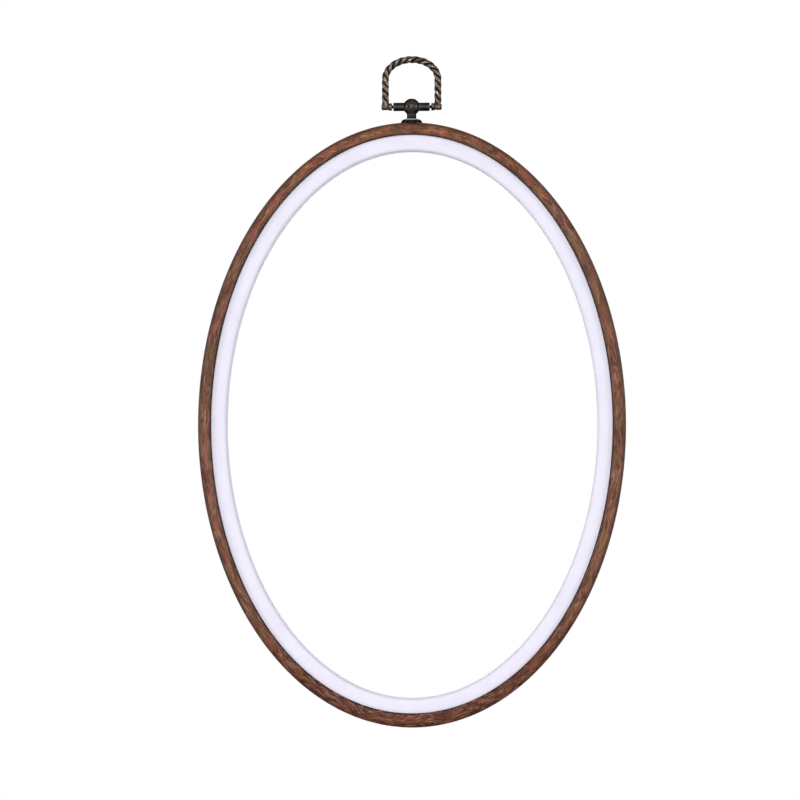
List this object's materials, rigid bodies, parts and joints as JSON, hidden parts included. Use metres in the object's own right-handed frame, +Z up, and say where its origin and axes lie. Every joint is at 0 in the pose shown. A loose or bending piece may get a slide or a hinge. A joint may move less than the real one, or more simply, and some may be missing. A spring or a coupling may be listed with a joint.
{
  "type": "embroidery hoop",
  "caption": "Oval display hoop: a soft wood-look ring stretched over a stiff inner ring holds cloth in its window and hangs from a twisted bail on a cast post.",
  "frame": {"origin": "the hook seat: the underside of the bail's arch at its middle, where a hook or nail carries the hoop", "axes": "+Z up along the oval's long axis, +X to the right as the picture shows the hoop, -Y out of the crowned front"},
  "size_m": [0.2016, 0.0104, 0.3163],
  "materials": {
    "wood_look_rubber": "satin, printed brown wood grain",
    "white_plastic": "satin",
    "dark_bronze": "dark plated, semi-gloss",
    "aged_brass": "aged, dark in the grooves",
    "plated_steel": "dull plated"
  },
  "bodies": {
    "bail": {"bail": "aged_brass"},
    "frame": {"outer_ring": "wood_look_rubber", "hanger_post": "dark_bronze", "hanger_screw": "plated_steel", "screw_washer": "plated_steel"},
    "inner_ring": {"inner_ring": "white_plastic"}
  },
  "joints": [
    {"name": "bail_swing", "type": "hinge", "parent": "bail", "child": "frame", "pos_m": [0, 0, -0.02072], "axis": [1, 0, 0], "range_deg": [-140, 140]},
    {"name": "inner_ring_slide", "type": "slide", "parent": "frame", "child": "inner_ring", "axis": [0, 1, 0], "range_m": [0, 0.025]}
  ]
}
